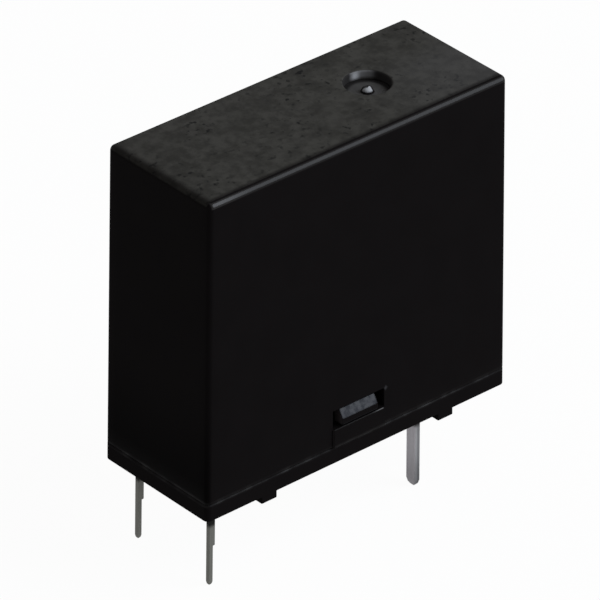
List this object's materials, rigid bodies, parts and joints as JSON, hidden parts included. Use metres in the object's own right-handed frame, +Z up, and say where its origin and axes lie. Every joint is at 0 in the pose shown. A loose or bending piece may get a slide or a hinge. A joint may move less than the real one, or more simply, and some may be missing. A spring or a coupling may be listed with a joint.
{
  "type": "pcb power relay",
  "caption": "Slim black one-pole power relay for a printed circuit board: a cover latched over a base, with a coil, hinged armature and make contact inside and solder pins below.",
  "frame": {"origin": "on the board's face, under the middle of the case", "axes": "+X along the case from the coil pins to the contact pins, +Y across the case to its rear side, +Z up from the board"},
  "size_m": [0.024, 0.0098, 0.0237],
  "materials": {
    "case": "moulded, satin walls and an eroded matte top",
    "resin": "cast",
    "pin": "tin plated",
    "former": "moulded",
    "copper": "enamelled",
    "tape": "smooth",
    "solder": "bright",
    "iron": "nickel plated",
    "spring_steel": "rolled",
    "bronze": "rolled",
    "silver": "satin"
  },
  "bodies": {
    "case": {"cover": "case", "base": "case", "sealing_resin": "resin", "coil_terminal_front": "pin", "coil_terminal_rear": "pin", "bobbin": "former", "winding": "copper", "winding_tape": "tape", "coil_tail_front": "copper", "coil_tail_rear": "copper", "solder_front": "solder", "solder_rear": "solder", "iron_core": "iron", "yoke": "iron", "hinge_spring": "spring_steel", "moving_terminal": "pin", "spring_rivets": "bronze", "fixed_terminal": "pin", "fixed_contact": "silver"},
    "armature": {"armature": "iron"},
    "card": {"card": "former"},
    "contact_leaf": {"contact_spring": "bronze", "moving_contact": "silver"}
  },
  "joints": [
    {"name": "card_slide", "type": "slide", "parent": "case", "child": "card", "axis": [1, 0, 0], "range_m": [0, 0.000399]},
    {"name": "armature_hinge", "type": "hinge", "parent": "case", "child": "armature", "pos_m": [-0.00085, 0, 0.0159], "axis": [0, -1, 0], "range_deg": [0, 5.2], "stiffness_Nm_per_rad": 0.001, "springref_deg": -0.97},
    {"name": "contact_leaf_flex", "type": "hinge", "parent": "case", "child": "contact_leaf", "pos_m": [0.00571, 0, 0.0052], "axis": [0, 1, 0], "range_deg": [0, 3.8], "deforming": ["contact_spring"]}
  ],
  "couplings": [
    {"joint": "armature_hinge", "follows": "card_slide", "rad_per_m": 227.27},
    {"joint": "contact_leaf_flex", "follows": "card_slide", "rad_per_m": 158.73}
  ]
}
